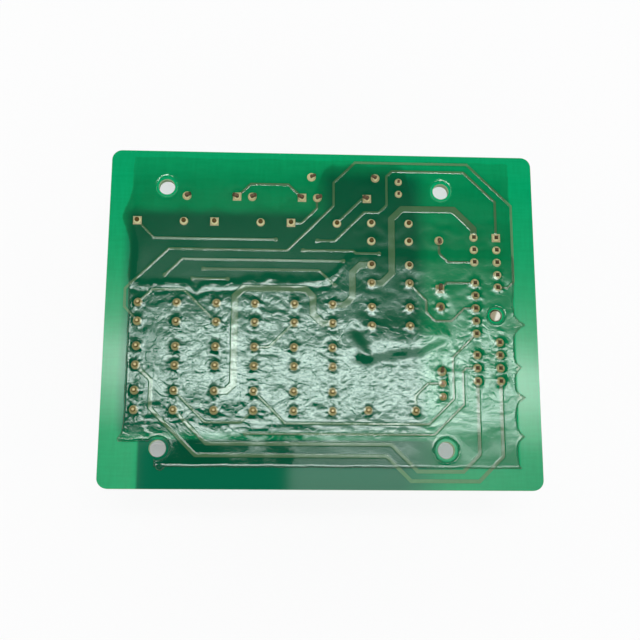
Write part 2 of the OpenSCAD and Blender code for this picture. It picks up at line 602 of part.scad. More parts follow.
// ======== connector ========
module connector_shroud() color([0.93, 0.92, 0.87]) flipped(conn_mid) {
    cavity_l = conn_l - 2 * conn_wall;
    cavity_w = conn_w - 2 * conn_wall;
    difference() {
        union() {
            translate([0, 0, 0.4]) linear_extrude(conn_h - 0.4) round_plan(conn_w, conn_l, 0.8);
            // ramps that the plug's latch snaps over
            for (s = [-1, 1]) translate([conn_w / 2 * s, 0, conn_h - 4]) rotate([90, 0, 0])
                linear_extrude(8, center = true) polygon([[-0.3 * s, -1.6], [0.9 * s, -0.2],
                    [0.9 * s, 0.3], [-0.3 * s, 2.4]]);
        }
        translate([0, 0, conn_floor]) linear_extrude(conn_h) round_plan(cavity_w, cavity_l, 0.5);
        // polarising slots through one long wall
        for (y = [-9, 9]) block([conn_w / 2 - conn_wall - slack, conn_w / 2 + slack],
                                [y - 1, y + 1], [conn_h - 5, conn_h + slack]);
        for (p = conn_holes) translate([p[0] - conn_mid[0], conn_mid[1] - p[1], 0])
            translate([-conn_pin / 2 - fit, -conn_pin / 2 - fit, -slack])
                cube([conn_pin + 2 * fit, conn_pin + 2 * fit, conn_floor + 2 * slack]);
        // sockets that lighten the floor between the pin groups
        for (y = [-7.2, 7.2]) translate([conn_columns / 2 - 0.4, y, -slack]) cube([0.8, 2, 1.4]);
    }
    // feet and the locating peg
    for (sx = [-1, 1], sy = [-1, 1])
        translate([sx * (conn_w / 2 - 1.2), sy * (conn_l / 2 - 1.2), 0])
            cylinder(0.4, r = 0.8, $fn = small_fn);
    translate([peg_at[0] - conn_mid[0], conn_mid[1] - peg_at[1], -board_t + 0.2])
        cylinder(board_t + 0.4, d = peg_d, $fn = round_fn);
}
// Square pin with its four edges drawn in at both tips
module pin_side(w, z0, z1, tip) polygon([[-w / 4, z0], [w / 4, z0], [w / 2, z0 + tip],
    [w / 2, z1 - tip], [w / 4, z1], [-w / 4, z1], [-w / 2, z1 - tip], [-w / 2, z0 + tip]]);
module square_pin(w, z0, z1, tip) intersection() {
    rotate([90, 0, 0]) linear_extrude(w, center = true) pin_side(w, z0, z1, tip);
    rotate([90, 0, 90]) linear_extrude(w, center = true) pin_side(w, z0, z1, tip);
}
module connector_pins() color([0.62, 0.52, 0.34])
    for (p = conn_holes) flipped(p) square_pin(conn_pin, -board_t - conn_pin_out, conn_pin_in, 0.35);

// ======== wire-ended parts: local frame, body along x, board face at z = 0 ========
// One lead: out of the body, down through the board and bent inward on the far side
clinch_l = 0.9;
clinch_at = 0.8;
clinch_angle = 50;
knuckle = 0.03;                    // the wire swells a little where it is bent over
module axial_lead(pitch, r, rise, body_l) {
    translate([body_l / 2 - 0.3, 0, rise]) rotate([0, 90, 0])
        cylinder(pitch / 2 - lead_bend - body_l / 2 + 0.3, r = r, $fn = small_fn);
    translate([pitch / 2 - lead_bend, 0, rise - lead_bend]) rotate([90, 0, 0])
        rotate_extrude(angle = 90, $fn = small_fn) translate([lead_bend, 0]) circle(r, $fn = small_fn);
    translate([pitch / 2, 0, -board_t - clinch_at]) {
        cylinder(rise - lead_bend + board_t + clinch_at, r = r, $fn = small_fn);
        sphere(r + knuckle, $fn = small_fn);
        rotate([0, 180 + clinch_angle, 0]) cylinder(clinch_l, r = r, $fn = small_fn);
    }
}
module lead_pair(part, pitch, r, body_d, body_l) flipped(part, part[2]) for (a = [0, 180])
    rotate([0, 0, a]) axial_lead(pitch, r, body_d / 2 + 0.15, body_l);
// Barrel body: round along x with rounded rims, drawn in by `neck` between its two end beads
module barrel(d, l, rim, neck, bore) rotate([0, 90, 0]) rotate_extrude($fn = round_fn) difference() {
    union() {
        square([d / 2 - rim, l]);
        translate([0, rim]) square([d / 2 - neck, l - 2 * rim]);
        for (y = neck > 0 ? [rim, 2 * rim, l - 2 * rim, l - rim] : [rim, l - rim])
            translate([d / 2 - rim, y]) circle(rim, $fn = small_fn);
        if (neck > 0) for (y = [rim, l - 2 * rim]) translate([0, y]) square([d / 2, rim]);
    }
    for (y = [-slack, l - 0.3]) translate([-slack, y]) square([bore + slack, slack + 0.3]);
    translate([-d, -l]) square([d, 3 * l]);
}
module diode(i) color([0.1, 0.1, 0.11]) flipped(diodes[i], diodes[i][2])
    translate([-diode_l / 2, 0, diode_d / 2 + 0.15]) barrel(diode_d, diode_l, 0.3, 0, diode_lead);
module diode_leads() color([0.75, 0.75, 0.73])
    for (d = diodes) lead_pair(d, diode_pitch, diode_lead, diode_d, diode_l);
module resistor(i) color([0.3, 0.45, 0.6]) flipped(resistors[i], resistors[i][2])
    translate([-resistor_l / 2, 0, resistor_d / 2 + 0.15])
        barrel(resistor_d, resistor_l, 0.5, 0.25, resistor_lead);
module resistor_leads() color([0.75, 0.75, 0.73])
    for (r = resistors) lead_pair(r, resistor_pitch, resistor_lead, resistor_d, resistor_l);

lamp_flange_r = led_d / 2 + 0.4;
lamp_stand = 0.5;
module lamp(i) color([0.2, 0.75, 0.3]) flipped(lamps[i], lamps[i][2]) translate([0, 0, lamp_stand])
    difference() {
        rotate_extrude($fn = round_fn) {
            square([lamp_flange_r, 1]);
            square([led_d / 2, led_h + 1 - led_d / 2]);
            translate([0, led_h + 1 - led_d / 2]) intersection() {
                circle(led_d / 2, $fn = round_fn);
                square(led_d);
            }
        }
        // flat that marks the cathode, and the two sockets of the leads
        block([lamp_flange_r - 0.35, lamp_flange_r + slack], [-led_d, led_d], [-slack, 1]);
        for (s = [-1, 1]) block([s * lamp_pitch / 2 - lamp_lead / 2, s * lamp_pitch / 2 + lamp_lead / 2],
                                [-lamp_lead / 2, lamp_lead / 2], [-slack, 0.6]);
    }
module lamp_leads() color([0.75, 0.75, 0.73]) for (l = lamps) flipped(l, l[2]) for (s = [-1, 1])
    block([s * lamp_pitch / 2 - lamp_lead / 2, s * lamp_pitch / 2 + lamp_lead / 2],
          [-lamp_lead / 2, lamp_lead / 2], [-board_t - 0.9, lamp_stand + 0.6]);

board();
tracks();
pads();
solder_joints();
varnish_film();
for (i = [0:3]) {
    name = str("relay_", i + 1, "_");
    relay_cover(i);
    relay_base(i);
    relay_bobbin(i);
    relay_winding(i);
    relay_yoke(i);
    relay_armature(i);
    relay_card(i);
    relay_springs(i);
    relay_contacts(i);
    diode(i);
}
connector_shroud();
connector_pins();
diode_leads();
for (i = [0:1]) {
    resistor(i);
    lamp(i);
}
resistor_leads();
lamp_leads();
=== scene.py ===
import bpy, bmesh, math
import numpy as np
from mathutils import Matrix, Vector, bvhtree, noise


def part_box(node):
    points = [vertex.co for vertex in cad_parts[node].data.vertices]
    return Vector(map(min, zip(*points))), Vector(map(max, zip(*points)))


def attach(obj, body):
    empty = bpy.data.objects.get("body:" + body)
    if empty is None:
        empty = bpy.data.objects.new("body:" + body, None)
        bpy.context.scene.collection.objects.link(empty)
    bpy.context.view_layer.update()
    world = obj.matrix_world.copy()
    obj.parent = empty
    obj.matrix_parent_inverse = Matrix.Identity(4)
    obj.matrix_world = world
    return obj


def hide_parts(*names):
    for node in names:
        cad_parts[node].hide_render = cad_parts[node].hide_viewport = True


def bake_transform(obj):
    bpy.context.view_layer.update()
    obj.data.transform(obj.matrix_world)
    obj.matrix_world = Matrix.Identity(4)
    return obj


# A relay board lying with its varnished solder side up, on the tops of its relay covers.
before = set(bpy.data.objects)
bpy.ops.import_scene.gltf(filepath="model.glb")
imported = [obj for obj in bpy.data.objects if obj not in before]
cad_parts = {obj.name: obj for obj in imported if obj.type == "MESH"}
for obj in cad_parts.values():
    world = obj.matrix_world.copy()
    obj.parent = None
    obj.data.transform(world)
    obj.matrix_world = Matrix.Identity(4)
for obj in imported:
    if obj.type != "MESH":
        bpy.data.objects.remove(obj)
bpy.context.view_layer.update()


# ======== camera ========
# Held by hand almost straight over the board, a little below its middle.
camera = bpy.data.objects.new("camera", bpy.data.cameras.new("camera"))
bpy.context.collection.objects.link(camera)
bpy.context.scene.camera = camera
camera.data.lens = 53.7
camera.data.clip_start = 0.01
camera.location = (-0.008578, -0.038343, 0.206981)
camera.rotation_euler = [math.radians(a) for a in (11.67, -2.582, 0.201)]
bpy.context.scene.view_settings.view_transform = "Standard"


# ======== light ========
# A ceiling softbox that mirrors in the lower half of the varnish, brightest across its middle. A
# dark card shades one corner of it. The room is bright low down all round and dark overhead, so
# that gloss stays clear where it does not mirror the softbox.
mm = 0.001


class Socket:
    """A shader value. Arithmetic on it adds Math nodes."""

    def __init__(self, finish, end):
        self.finish, self.end = finish, end

    def maths(self, operation, *values):
        return self.finish.node("Math", {"operation": operation}, values)

    def __add__(self, other):
        return self.maths("ADD", self, other)

    __radd__ = __add__

    def __sub__(self, other):
        return self.maths("SUBTRACT", self, other)

    def __rsub__(self, other):
        return self.maths("SUBTRACT", other, self)

    def __mul__(self, other):
        return self.maths("MULTIPLY", self, other)

    __rmul__ = __mul__

    def __abs__(self):
        return self.maths("ABSOLUTE", self)


class Finish:
    """A material, or the world, as it is put together."""

    def __init__(self, owner):
        self.owner = owner if isinstance(owner, bpy.types.ID) else bpy.data.materials.new(owner)
        self.owner.use_nodes = True
        self.tree = self.owner.node_tree
        self.tree.nodes.clear()

    def node(self, kind, settings=None, values=(), output=0):
        made = self.tree.nodes.new("ShaderNode" + kind)
        for key, setting in (settings or {}).items():
            if key == "stops":
                while len(made.color_ramp.elements) < len(setting):
                    made.color_ramp.elements.new(0.5)
                for stop, (place, shade) in zip(made.color_ramp.elements, setting):
                    stop.position, stop.color = place, (*shade, 1)
            else:
                setattr(made, key, setting)
        for key, value in values.items() if isinstance(values, dict) else enumerate(values):
            if isinstance(key, str):
                key = [s.identifier for s in made.inputs].index(key)
            if isinstance(value, Socket):
                self.tree.links.new(value.end, made.inputs[key])
            else:
                made.inputs[key].default_value = value
        return Socket(self, made.outputs[output])

    def ramp(self, value, low, high, stops):
        """Grey ramp over a range of values: (value, grey) stops."""
        share = self.node("MapRange", None, {"Value": value, "From Min": low, "From Max": high})
        return self.node("ValToRGB", {"stops": [((v - low) / (high - low), (g,) * 3) for v, g in stops]},
                         {"Fac": share})

    def place(self, centre=(0, 0, 0), turn=(0, 0, 0)):
        """Object coordinates in millimetres from a centre."""
        spot = self.node("TexCoord", output=3)
        return self.node("Mapping", {"vector_type": "TEXTURE"}, {
            "Vector": spot, "Location": [c * mm for c in centre], "Rotation": turn, "Scale": (mm,) * 3})

    def split(self, vector):
        return [self.node("SeparateXYZ", values=(vector,), output=k) for k in range(3)]

    def grain(self, vector, scale, detail=3, roughness=0.5, warp=0):
        return self.node("TexNoise", None, {"Vector": vector, "Scale": scale, "Detail": detail,
                                            "Roughness": roughness, "Distortion": warp})

    def rise(self, value, low, high):
        return self.node("MapRange", {"interpolation_type": "SMOOTHSTEP"},
                         {"Value": value, "From Min": low, "From Max": high})

    def mix(self, share, first, second):
        colours = [c if isinstance(c, Socket) else (*c, 1) for c in (first, second)]
        return self.node("Mix", {"data_type": "RGBA"}, {
            "Factor_Float": share, "A_Color": colours[0], "B_Color": colours[1]}, output=2)

    def bump(self, height, depth, strength=1):
        return self.node("Bump", None, {"Height": height, "Distance": depth * mm, "Strength": strength})

    def principled(self, **values):
        named = {key.replace("_", " "): (*v, 1) if isinstance(v, tuple) else v for key, v in values.items()}
        return self.node("BsdfPrincipled", None, named)

    def done(self, shader, output="Material"):
        finished = self.tree.nodes.new("ShaderNodeOutput" + output)
        self.tree.links.new(shader.end, finished.inputs["Surface"])
        return self.owner


bpy.ops.object.select_all(action="DESELECT")
bpy.ops.mesh.primitive_grid_add(x_subdivisions=1, y_subdivisions=1, size=1, location=(0.055, 0.185, 1.026))
softbox = bpy.context.active_object
softbox.name = "softbox"
softbox.scale = (0.62, 0.43, 1)
softbox.rotation_euler = (math.pi, 0, 0)
bpy.ops.object.transform_apply(location=True, rotation=True, scale=True)
glow = Finish("softbox_cloth")
along, across, _ = glow.split(glow.node("TexCoord", output=3))
bands = glow.ramp(across + 0.05 * along, -0.03, 0.4, [
    (-0.03, 0.12), (0.03, 0.15), (0.055, 0.19), (0.075, 0.42), (0.1, 0.66), (0.125, 1), (0.156, 1),
    (0.178, 0.6), (0.204, 0.3), (0.23, 0.18), (0.256, 0.09), (0.282, 0.05), (0.31, 0.025), (0.4, 0)])
ends = glow.ramp(along, -0.25, 0.36, [(-0.25, 0.42), (-0.2, 0.5), (-0.14, 0.85), (-0.09, 1),
                                      (0.16, 1), (0.24, 0.8), (0.36, 0.5)])
card = glow.rise(along, -0.184, -0.174) * (1 - glow.rise(along, -0.002, 0.016)) * (
    1 - glow.rise(across, 0.045, 0.062))
lit = glow.mix(bands * ends * (1 - card), (0, 0, 0), (1, 1, 1))
glow.done(glow.node("Emission", None, {"Color": lit, "Strength": 16}))
softbox.data.materials.append(glow.owner)

room = Finish(bpy.data.worlds.new("room"))
bpy.context.scene.world = room.owner
height = room.split(room.node("TexCoord", output=0))[2]
seen = room.node("LightPath", output=0)
room.done(room.node("Background", None, {
    "Color": (0.96, 0.98, 1, 1),
    "Strength": 1.14 - 1.08 * room.rise(height, 0.6, 0.82) * (1 - seen)}), "World")


# ======== floor ========
# A white sheet of card under the object. It looks white to the camera and keeps the shadow.
bpy.ops.object.select_all(action="DESELECT")
bpy.ops.mesh.primitive_plane_add(size=6, location=(0, 0, -0.0002))
floor = bpy.context.active_object
floor.name = "floor"
paper = Finish("white_card")
spot = paper.place()
x, y, _ = paper.split(spot)
open_floor = paper.node("Math", {"operation": "MAXIMUM"}, (
    paper.rise(abs(x - 1.2), 37, 46), paper.rise(abs(y - 5.4), 31, 37.5)))
seen = paper.node("LightPath", output=0)
floor.data.materials.append(paper.done(paper.node("MixShader", None, (
    seen * open_floor * 0.9, paper.node("BsdfDiffuse", None, {"Color": (0.96, 0.96, 0.96, 1)}),
    paper.node("Emission", None, {"Strength": 1})))))


# ======== laminate ========
# The board: woven glass and epoxy, 1.6 mm thick, under a green solder mask. It is routed to its
# outline, so its edges show the paler, matt laminate. Light would come through it where nothing lies
# beneath; instead the mask carries painted shade, darker green over the relays and along the bottom strip.
def cad_piece(node, material):
    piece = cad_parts[node]
    piece.data.materials.clear()
    piece.data.materials.append(material)


def finer_copy(node, name, body, material, ease=0.0, smooth=35):
    """Copy of a CAD piece with its triangles merged, its sharp edges eased and its rounds smooth."""
    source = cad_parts[node]
    piece = bpy.data.objects.new(name, source.data.copy())
    bpy.context.collection.objects.link(piece)
    bpy.ops.object.select_all(action="DESELECT")
    piece.select_set(True)
    bpy.context.view_layer.objects.active = piece
    bpy.ops.object.mode_set(mode="EDIT")
    bpy.ops.mesh.select_all(action="SELECT")
    bpy.ops.mesh.remove_doubles(threshold=1e-6)
    bpy.ops.mesh.dissolve_limited(angle_limit=math.radians(0.5))
    bpy.ops.object.mode_set(mode="OBJECT")
    if ease:
        bevel = piece.modifiers.new("ease", "BEVEL")
        bevel.width, bevel.segments, bevel.angle_limit = ease * mm, 2, math.radians(50)
        bevel.limit_method = "ANGLE"
        bpy.ops.object.modifier_apply(modifier="ease")
    bpy.ops.object.shade_smooth_by_angle(angle=math.radians(smooth))
    piece.data.materials.clear()
    piece.data.materials.append(material)
    if body:
        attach(piece, body)
    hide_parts(node)
    return piece


def box_share(finish, x, y, box, soft):
    """1 inside a box seen from above, 0 outside it."""
    left, right, low, high = box
    return (finish.rise(x, left - soft, left + soft) * (1 - finish.rise(x, right - soft, right + soft))
            * finish.rise(y, low - soft, low + soft) * (1 - finish.rise(y, high - soft, high + soft)))


mask = Finish("green_mask")
spot = mask.place()
x, y, z = mask.split(spot)
facing = mask.split(mask.node("NewGeometry", output=1))[2]
weave_x = mask.grain(mask.node("Mapping", None, {"Vector": spot, "Scale": (2.2, 0.25, 1)}), 1, 2)
weave_y = mask.grain(mask.node("Mapping", None, {"Vector": spot, "Scale": (0.25, 2.2, 1)}), 1, 2)
weave = weave_x + weave_y
green = mask.mix(mask.rise(weave, 0.7, 1.3), (0, 0.375, 0.13), (0.001, 0.42, 0.15))
green = mask.mix(mask.grain(spot, 0.12, 3) * 0.35, green, (0.001, 0.34, 0.14))
# painted shade: the top of the mask is painted darker green along the bottom strip and over the relays beneath the
# board
bottom_strip_painted_shade = box_share(mask, x, y, (-34.7, 50, -40, -24), 0.35) * (1 - mask.rise(x, 14, 27) * 0.85)
relays = box_share(mask, x, y, (-38.3, 5, -23, 20.8), 1.4)
relays = relays.maths("MAXIMUM", relays, box_share(mask, x, y, (0, 19.5, -23, 29.5), 2.2))
painted_shade_share = bottom_strip_painted_shade.maths("MAXIMUM", bottom_strip_painted_shade, relays * 0.92) * mask.rise(facing, 0.6, 0.9)
green = mask.mix(painted_shade_share, green, (0.0005, 0.15, 0.07))
edge = mask.mix(mask.grain(spot, 3, 4), (0.36, 0.5, 0.3), (0.55, 0.66, 0.45))
on_face = mask.rise(abs(facing), 0.6, 0.9)
film_middle = 1.5
beyond_x = mask.rise(abs(x - 0.1), 37.3, 37.9)
beyond_y = mask.rise(abs(y - film_middle), 30.3, 30.8)
corner = (1 - mask.rise(x, -31.9, -31.6)) * (1 - mask.rise(y, -24.8, -24.5))
from_hole_x, from_hole_y = abs(x + 3.7) - 27.3, abs(y) - 25.8
ring = 1 - mask.rise(from_hole_x * from_hole_x + from_hole_y * from_hole_y, 4, 4.8)
bare = beyond_x.maths("MAXIMUM", beyond_x, beyond_y)
bare = bare.maths("MAXIMUM", bare, corner.maths("MAXIMUM", corner, ring))
cad_piece("board", mask.done(mask.principled(
    Base_Color=mask.mix(on_face, edge, green), Roughness=0.8 - 0.3 * on_face,
    Specular_IOR_Level=0.02, Coat_Weight=on_face * bare * 0.8, Coat_Roughness=0.05, Coat_IOR=1.5,
    Normal=mask.bump(weave + mask.grain(spot, 14, 2) * 0.3, 0.004))))


# ======== tracks ========
# Etched copper under the mask, olive where it lies over the copper.
olive = Finish("masked_copper")
spot = olive.place()
cad_piece("tracks", olive.done(olive.principled(
    Base_Color=olive.mix(olive.grain(spot, 1.1, 4), (0.045, 0.21, 0.065), (0.07, 0.26, 0.085)), Roughness=0.4,
    Coat_Weight=0.3, Coat_Roughness=0.1, Normal=olive.bump(olive.grain(spot, 6, 3), 0.003))))


# ======== pads ========
# Copper rings with a thin gold-coloured finish, under the varnish.
gilt = Finish("plating")
spot = gilt.place()
plating = gilt.done(gilt.principled(
    Base_Color=gilt.mix(gilt.grain(spot, 2.5, 4), (0.8, 0.74, 0.4), (0.95, 0.9, 0.6)),
    Metallic=0.05, Roughness=0.3 + 0.2 * gilt.grain(spot, 5, 3),
    Normal=gilt.bump(gilt.grain(spot, 9, 3), 0.01)))
cad_piece("pads", plating)


# ======== relays ========
# Four force-guided relays. Each has a moulded base with its pins, a coil on a bobbin, a yoke
# with its core, a hinged armature, a card that pushes six bronze springs, and a clear cover.
black = Finish("black_moulding")
spot = black.place()
black_moulding = black.done(black.principled(
    Base_Color=black.mix(black.grain(spot, 8, 5), (0.012, 0.012, 0.014), (0.035, 0.035, 0.04)),
    Roughness=0.42 + 0.2 * black.grain(spot, 3, 3), Normal=black.bump(black.grain(spot, 14, 4), 0.01)))

ivory = Finish("ivory_moulding")
spot = ivory.place()
ivory_moulding = ivory.done(ivory.principled(
    Base_Color=ivory.mix(ivory.grain(spot, 0.8, 3), (0.78, 0.72, 0.56), (0.86, 0.81, 0.68)),
    Roughness=0.4, Normal=ivory.bump(ivory.grain(spot, 10, 3), 0.006)))

copper = Finish("coil_wire")
spot = copper.place()
turns = copper.node("Math", {"operation": "SINE"}, (copper.split(spot)[1] * 25.1,))
coil_wire = copper.done(copper.principled(Normal=copper.bump(turns, 0.04),
    Base_Color=copper.mix(copper.grain(spot, 1.4, 4), (0.42, 0.1, 0.025), (0.7, 0.25, 0.08)),
    Metallic=0.85, Roughness=0.22 + 0.25 * copper.grain(spot, 4, 3)))

iron = Finish("soft_iron")
spot = iron.place()
brushed = iron.grain(iron.node("Mapping", None, {"Vector": spot, "Scale": (6, 0.5, 0.5)}), 2, 3)
soft_iron = iron.done(iron.principled(
    Base_Color=iron.mix(brushed, (0.42, 0.42, 0.42), (0.62, 0.62, 0.6)), Metallic=0.9,
    Roughness=0.25 + 0.25 * brushed, Normal=iron.bump(brushed, 0.006)))

red = Finish("red_moulding")
spot = red.place()
red_moulding = red.done(red.principled(
    Base_Color=red.mix(red.grain(spot, 1.5, 3), (0.5, 0.05, 0.025), (0.62, 0.085, 0.04)),
    Roughness=0.38, Normal=red.bump(red.grain(spot, 12, 3), 0.006)))

bronze = Finish("spring_bronze")
spot = bronze.place()
height = bronze.split(spot)[2]
pin_end = bronze.rise(height, 25.3, 25.7)
contact_band = bronze.rise(abs(height - 7), 1.3, 0.8)
spring_bronze = bronze.done(bronze.principled(
    Base_Color=bronze.mix(pin_end, bronze.mix(contact_band, bronze.mix(
        bronze.grain(spot, 1.2, 3), (0.6, 0.36, 0.14), (0.78, 0.54, 0.26)), (0.78, 0.77, 0.72)),
        (0.2, 0.085, 0.03)), Metallic=0.9 - 0.5 * pin_end, Roughness=0.3 + 0.15 * bronze.grain(spot, 6, 3)))

brass = Finish("contact_brass")
spot = brass.place()
height = brass.split(spot)[2]
pin_end = brass.rise(height, 25.3, 25.7)
contact_band = brass.rise(abs(height - 7), 1.3, 0.8)
contact_brass = brass.done(brass.principled(
    Base_Color=brass.mix(pin_end, brass.mix(contact_band, brass.mix(
        brass.grain(spot, 1.2, 3), (0.62, 0.48, 0.22), (0.8, 0.66, 0.38)), (0.8, 0.79, 0.74)),
        (0.2, 0.085, 0.03)), Metallic=0.9 - 0.5 * pin_end, Roughness=0.32 + 0.15 * brass.grain(spot, 6, 3)))

clear = Finish("clear_cover")
spot = clear.place()
haze = clear.grain(spot, 0.9, 4)
gloss = clear.principled(Base_Color=clear.mix(haze, (0.75, 0.79, 0.77), (0.85, 0.88, 0.86)),
                         Roughness=0.12, Normal=clear.bump(haze, 0.01))
see_through = clear.node("BsdfTransparent", None, {"Color": (0.95, 0.97, 0.96, 1)})
rim = clear.node("Fresnel", None, {"IOR": 1.5})
outside = 1 - clear.node("NewGeometry", output=6)
clear_cover = clear.done(clear.node("MixShader", None, ((0.06 + 0.85 * rim) * outside, see_through, gloss)))

relay_finishes = {
    "base": ("black_moulding", black_moulding, 0.08), "bobbin": ("ivory_moulding", ivory_moulding, 0.05),
    "yoke": ("soft_iron", soft_iron, 0.08), "armature": ("soft_iron", soft_iron, 0.06),
    "card": ("red_moulding", red_moulding, 0.08), "contacts": ("contact_brass", contact_brass, 0),
    "cover": ("clear_cover", clear_cover, 0)}
relay_bodies = {"armature": "relay_{}_armature", "card": "relay_{}_card"}
spring_root, spring_tip = 21.3, 2.4
for n in range(1, 5):
    for part, (slot, material, ease) in relay_finishes.items():
        finer_copy(f"relay_{n}_{part}", f"relay_{n}_{part}_finished",
                   relay_bodies.get(part, "board").format(n), material, ease)
    finer_copy(f"relay_{n}_winding", f"relay_{n}_coil", "board", coil_wire)
    springs = finer_copy(f"relay_{n}_springs", f"relay_{n}_spring_set", None, spring_bronze)
    bars = bmesh.new()
    bars.from_mesh(springs.data)
    for level in np.linspace(spring_tip, spring_root, 16):
        bmesh.ops.bisect_plane(bars, geom=bars.verts[:] + bars.edges[:] + bars.faces[:],
                               plane_co=(0, 0, level * mm), plane_no=(0, 0, 1))
    bars.to_mesh(springs.data)
    bars.free()
    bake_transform(springs)


# ======== plug connector ========
# A natural nylon shroud round two columns of square pins, held by its locating peg and pins.
nylon = Finish("white_moulding")
spot = nylon.place()
x, y, z = nylon.split(spot)
# painted shade and painted highlight: the peg's end, seen through its hole, is painted tan on its left and pale
# cream on its right
peg_end = nylon.rise(z, 23.4, 23.9)
painted_peg_shade_and_highlight = nylon.mix(nylon.rise(x - 0.3 * y, 33.6, 34.1), (0.38, 0.33, 0.2), (0.95, 0.93, 0.8))
finer_copy("connector_shroud", "connector_housing", "board", nylon.done(nylon.principled(
    Base_Color=nylon.mix(peg_end, nylon.mix(nylon.grain(spot, 0.5, 3), (0.78, 0.76, 0.68), (0.86, 0.85, 0.79)),
                         painted_peg_shade_and_highlight),
    Roughness=0.45, Normal=nylon.bump(nylon.grain(spot, 9, 3), 0.008))), ease=0.05)

tin = Finish("pin_metal")
spot = tin.place()
finer_copy("connector_pins", "connector_contacts", "board", tin.done(tin.principled(
    Base_Color=tin.mix(tin.grain(spot, 2, 4), (0.06, 0.035, 0.012), (0.12, 0.075, 0.03)),
    Metallic=0.6, Roughness=0.35 + 0.2 * tin.grain(spot, 5, 3))))


# ======== diodes ========
# Black moulded epoxy barrels with a grey band at the cathode.
def banded(name, body_shades, bands, along, centre, roughness):
    """Lacquered or moulded barrel with printed bands: (place, half width, colour) along its axis."""
    coat = Finish(name)
    spot = coat.place(centre)
    run = coat.split(spot)[along]
    shade = coat.mix(coat.grain(spot, 2, 3), *body_shades)
    for place, half, colour in bands:
        shade = coat.mix(coat.rise(abs(run - place), half + 0.05, half - 0.05), shade, colour)
    return coat.done(coat.principled(Base_Color=shade, Roughness=roughness,
                                     Normal=coat.bump(coat.grain(spot, 8, 3), 0.01)))


def middle(node):
    low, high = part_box(node)
    return (low + high) / 2 / mm


for n in range(1, 5):
    low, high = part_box(f"diode_{n}")
    along = 0 if high.x - low.x > high.y - low.y else 1
    finer_copy(f"diode_{n}", f"diode_{n}_body", "board", banded(
        f"black_epoxy_{n}", ((0.012, 0.012, 0.013), (0.03, 0.03, 0.032)),
        [(1.7 if along == 0 else -1.7, 0.4, (0.55, 0.55, 0.54))], along, middle(f"diode_{n}"), 0.32))


# ======== resistors ========
# Film resistors: pale blue lacquer with brown, black, red and gold bands.
for n in range(1, 3):
    low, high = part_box(f"resistor_{n}")
    along = 0 if high.x - low.x > high.y - low.y else 1
    finer_copy(f"resistor_{n}", f"resistor_{n}_body", "board", banded(
        f"resistor_lacquer_{n}", ((0.12, 0.27, 0.4), (0.17, 0.35, 0.5)),
        [(-2.2, 0.28, (0.13, 0.05, 0.02)), (-1.1, 0.25, (0.015, 0.015, 0.015)),
         (-0.1, 0.25, (0.45, 0.02, 0.015)), (2.1, 0.28, (0.5, 0.34, 0.08))],
        along, middle(f"resistor_{n}"), 0.3))


# ======== lamps ========
# Two 3 mm lamps in tinted resin.
for n, tint in ((1, (0.05, 0.5, 0.12)), (2, (0.5, 0.3, 0.02))):
    resin = Finish(f"lamp_resin_{n}")
    spot = resin.place()
    cloud = resin.grain(spot, 0.8, 3)
    finer_copy(f"lamp_{n}", f"lamp_{n}_lens", "board", resin.done(resin.principled(
        Base_Color=resin.mix(cloud, tint, tuple(0.5 * c + 0.3 for c in tint)), Roughness=0.12,
        Alpha=0.75 + 0.15 * cloud, Coat_Weight=0.5, Coat_Roughness=0.05)))


# ======== leads ========
# Tinned copper wires, bent down through the board and clinched on its solder side.
# Their ends on that side are painted dark brown as shade.
tinned = Finish("tinned_wire")
spot = tinned.place()
# painted shade: the wire ends above the board's face are painted dark brown
painted_shade_on_ends = tinned.rise(tinned.split(spot)[2], 25.4, 25.8)
tinned_wire = tinned.done(tinned.principled(
    Base_Color=tinned.mix(painted_shade_on_ends, tinned.mix(tinned.grain(spot, 1.5, 4), (0.55, 0.52, 0.42),
                                              (0.8, 0.77, 0.66)), (0.13, 0.08, 0.04)), Metallic=0.6,
    Roughness=0.2 + 0.15 * tinned.grain(spot, 5, 3)))
for part in ("diode", "resistor", "lamp"):
    finer_copy(f"{part}_leads", f"{part}_wires", "board", tinned_wire)


# ======== solder ========
# Cones drawn up round each pin, golden at the pad and browned by flux towards the tip. In the lower
# part of the board each dome's cut top is pale and partly metallic: part real metal, part painted highlight.
joint = Finish("solder")
spot = joint.place()
x, y, z = joint.split(spot)
over_board = z - 25.6
thick = 1 - joint.rise(y, 5, 9)
gold = joint.mix(thick, (0.88, 0.82, 0.46), (0.5, 0.47, 0.19))
gold = joint.mix(joint.grain(spot, 1.3, 3) * 0.5, gold, (0.62, 0.54, 0.26))
brown = joint.mix(joint.grain(spot, 2.5, 3), (0.075, 0.042, 0.008), (0.13, 0.08, 0.018))
# painted highlight: the very top of each dome is painted pale gold and made partly metallic, only in the lower board
# where the softbox mirrors
cut_tip_and_painted_highlight = joint.rise(over_board, 1.055, 1.09) * thick
shade = joint.mix(cut_tip_and_painted_highlight, joint.mix(joint.rise(over_board, 0.6, 0.78), gold, brown), (0.6, 0.5, 0.24))
finer_copy("solder_joints", "solder_cones", "board", joint.done(joint.principled(
    Base_Color=shade, Metallic=0.3 * cut_tip_and_painted_highlight, Specular_IOR_Level=0.2,
    Roughness=0.14 + 0.1 * joint.grain(spot, 4, 3), Normal=joint.bump(joint.grain(spot, 5, 3), 0.006))))


# ======== varnish film ========
# Clear brownish varnish brushed thickly over the solder side. It dried from the top down, so it
# wrinkled where it lay thick, ran a little at its edges, drew up round each pin and over each
# track, and stayed off the screw holes.
face_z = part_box("board")[1].z / mm
mount_spots = [(-3.7 + sx * 27.3, sy * 25.8) for sx in (-1, 1) for sy in (-1, 1)]
peg_spot = (33.95, 0.5)


def run_out(y, runs):
    """How far the varnish ran past its edge at height y."""
    return sum(reach * (1 + ((y - at) / half) ** 2) ** -1.5 for at, reach, half in runs)


